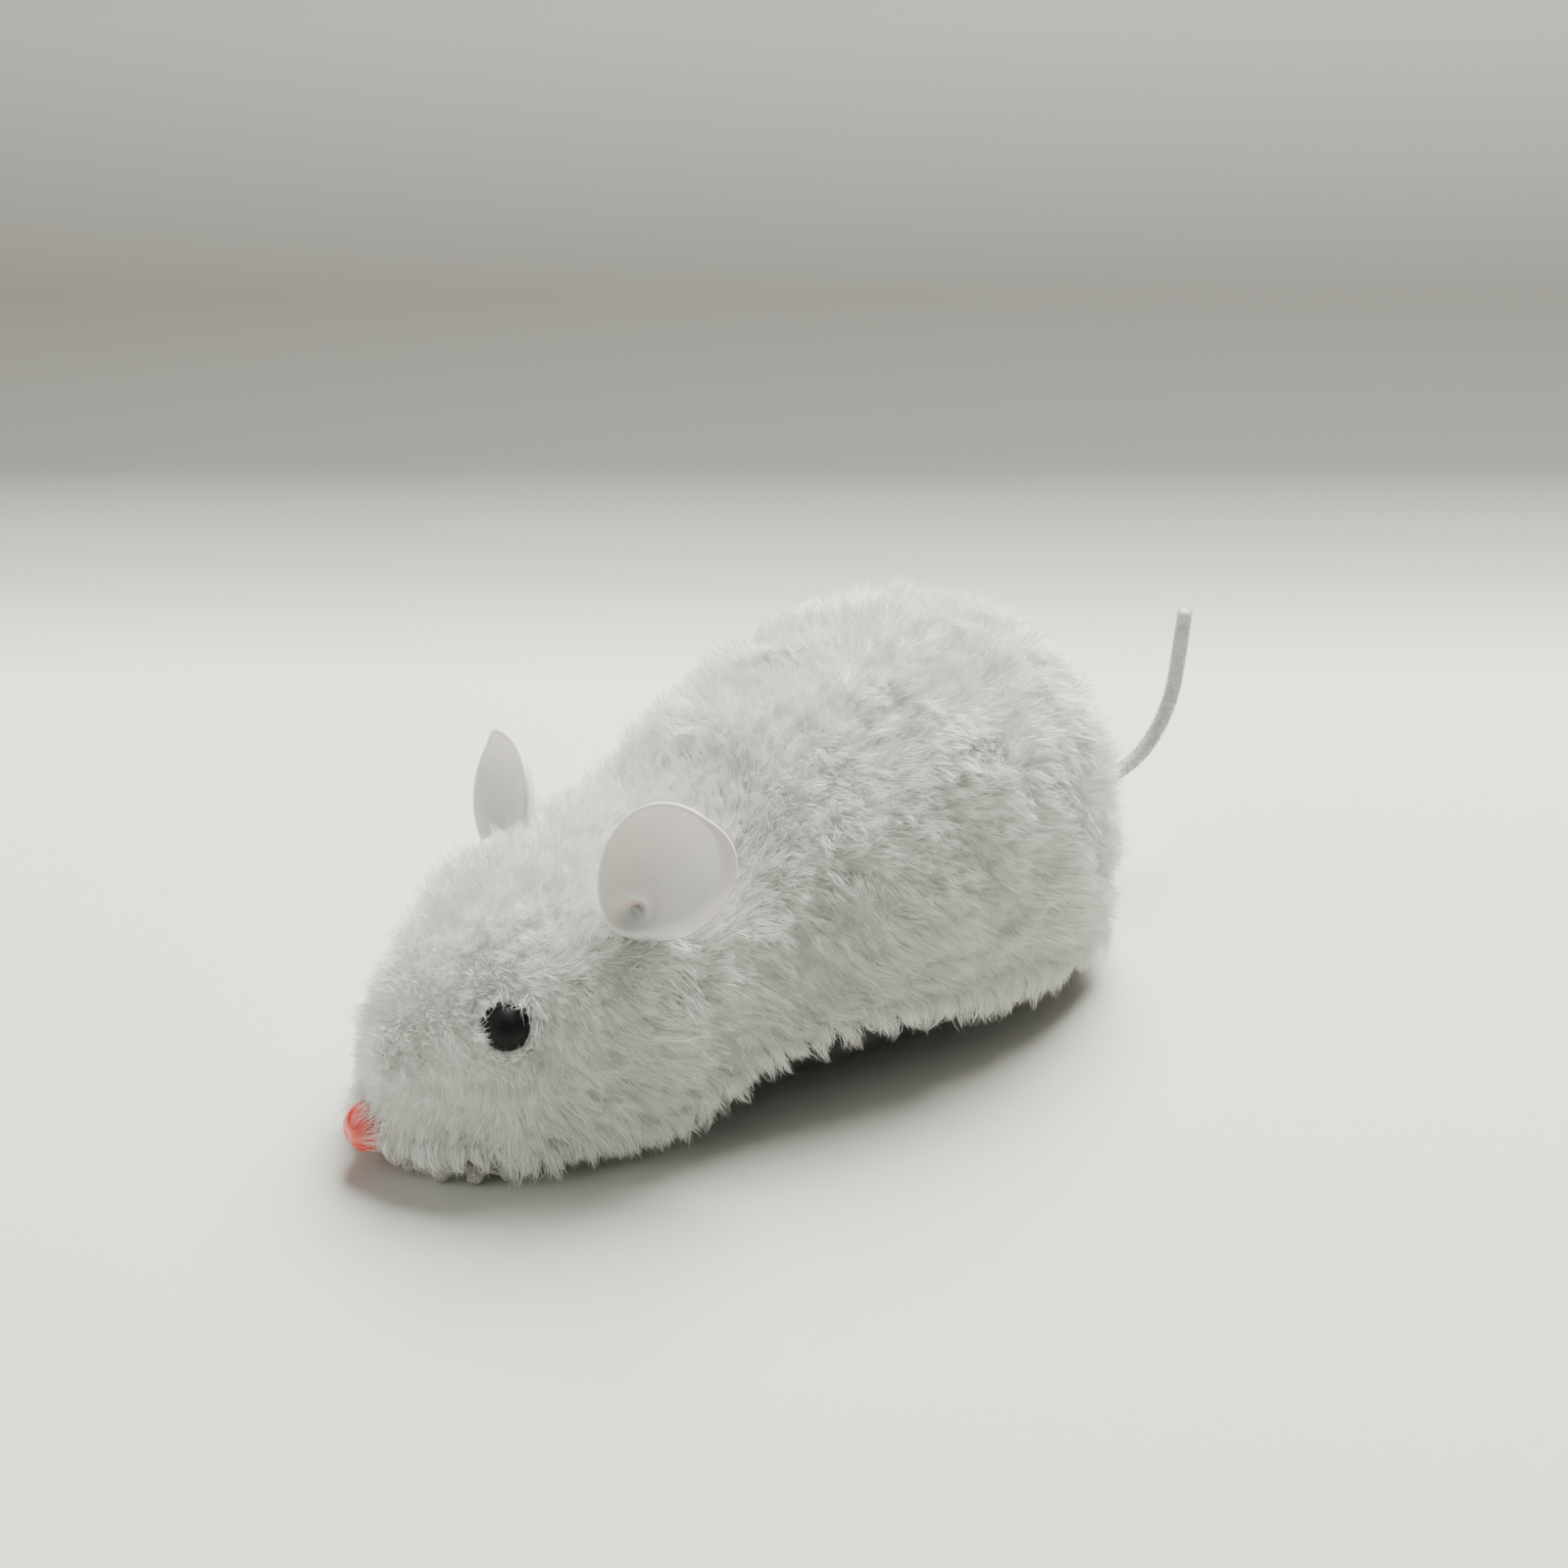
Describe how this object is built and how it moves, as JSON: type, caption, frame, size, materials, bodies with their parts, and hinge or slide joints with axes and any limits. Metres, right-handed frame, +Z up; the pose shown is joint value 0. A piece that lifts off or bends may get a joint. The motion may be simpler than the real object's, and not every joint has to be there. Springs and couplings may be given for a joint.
{
  "type": "clockwork mouse",
  "caption": "Wind-up plush mouse on wheels: white pile cover over a plastic shell, cupped ears, bead eyes and nose, formed tail, side winding knob and a spring motor with a gear train.",
  "frame": {"origin": "on the ground plane that the wheels stand on, in the plane midway between the mouse's sides, under the middle of its body", "axes": "+Z up; the mouse faces -Y; its left side is +X"},
  "size_m": [0.064, 0.1329, 0.051],
  "materials": {
    "plush": "short white pile, slightly matted",
    "ear_vinyl": "soft thin sheet, matte",
    "eye_black": "gloss",
    "nose_red": "gloss, slightly translucent",
    "tail_flock": "flocked cord",
    "hot_glue": "cloudy, glossy",
    "black_plastic": "moulded, satin",
    "tyre_rubber": "matt",
    "white_nylon": "moulded, satin",
    "motor_plastic": "moulded, satin",
    "frame_steel": "plated",
    "screw_steel": "bright drawn",
    "spring_steel": "blued"
  },
  "bodies": {
    "chassis": {"fur_cover": "plush", "body_shell": "black_plastic", "base_plate": "black_plastic", "ear_left": "ear_vinyl", "ear_right": "ear_vinyl", "eye_left": "eye_black", "eye_right": "eye_black", "eye_washers": "white_nylon", "nose": "nose_red", "tail": "tail_flock", "glue_beads": "hot_glue", "base_screws": "screw_steel", "motor_screws": "screw_steel", "frame_plate_left": "motor_plastic", "frame_plate_right": "motor_plastic", "frame_pillars": "frame_steel", "mainspring": "spring_steel", "first_arbor": "screw_steel", "second_arbor": "screw_steel", "front_axle": "screw_steel"},
    "drive_wheels": {"drive_axle": "screw_steel", "drive_pinion": "white_nylon", "rear_wheel_left": "black_plastic", "rear_wheel_right": "black_plastic", "tyre_left": "tyre_rubber", "tyre_right": "tyre_rubber"},
    "second_gear": {"second_gear": "white_nylon"},
    "first_gear": {"first_gear": "white_nylon"},
    "great_gear": {"great_gear": "white_nylon"},
    "winder": {"winding_shaft": "screw_steel", "winding_key": "black_plastic", "ratchet_wheel": "white_nylon"},
    "front_wheel": {"front_wheel": "black_plastic"}
  },
  "joints": [
    {"name": "drive_wheels_spin", "type": "hinge", "parent": "chassis", "child": "drive_wheels", "pos_m": [0, 0.018, 0.008], "axis": [1, 0, 0], "continuous": true},
    {"name": "second_gear_spin", "type": "hinge", "parent": "chassis", "child": "second_gear", "pos_m": [0, 0.01318, 0.01375], "axis": [1, 0, 0], "continuous": true},
    {"name": "first_gear_spin", "type": "hinge", "parent": "chassis", "child": "first_gear", "pos_m": [0, 0.01929, 0.02102], "axis": [1, 0, 0], "continuous": true},
    {"name": "great_gear_spin", "type": "hinge", "parent": "chassis", "child": "great_gear", "pos_m": [0, 0.03347, 0.01852], "axis": [1, 0, 0], "continuous": true},
    {"name": "winding_key_turn", "type": "hinge", "parent": "chassis", "child": "winder", "pos_m": [0, 0.03347, 0.01852], "axis": [1, 0, 0], "range_deg": [0, 1710], "stiffness_Nm_per_rad": 0.0005},
    {"name": "front_wheel_spin", "type": "hinge", "parent": "chassis", "child": "front_wheel", "pos_m": [0, -0.03, 0.0045], "axis": [1, 0, 0], "continuous": true}
  ],
  "couplings": [
    {"joint": "second_gear_spin", "follows": "drive_wheels_spin", "ratio": -0.5},
    {"joint": "first_gear_spin", "follows": "drive_wheels_spin", "ratio": 0.17857},
    {"joint": "great_gear_spin", "follows": "drive_wheels_spin", "ratio": -0.059524}
  ]
}
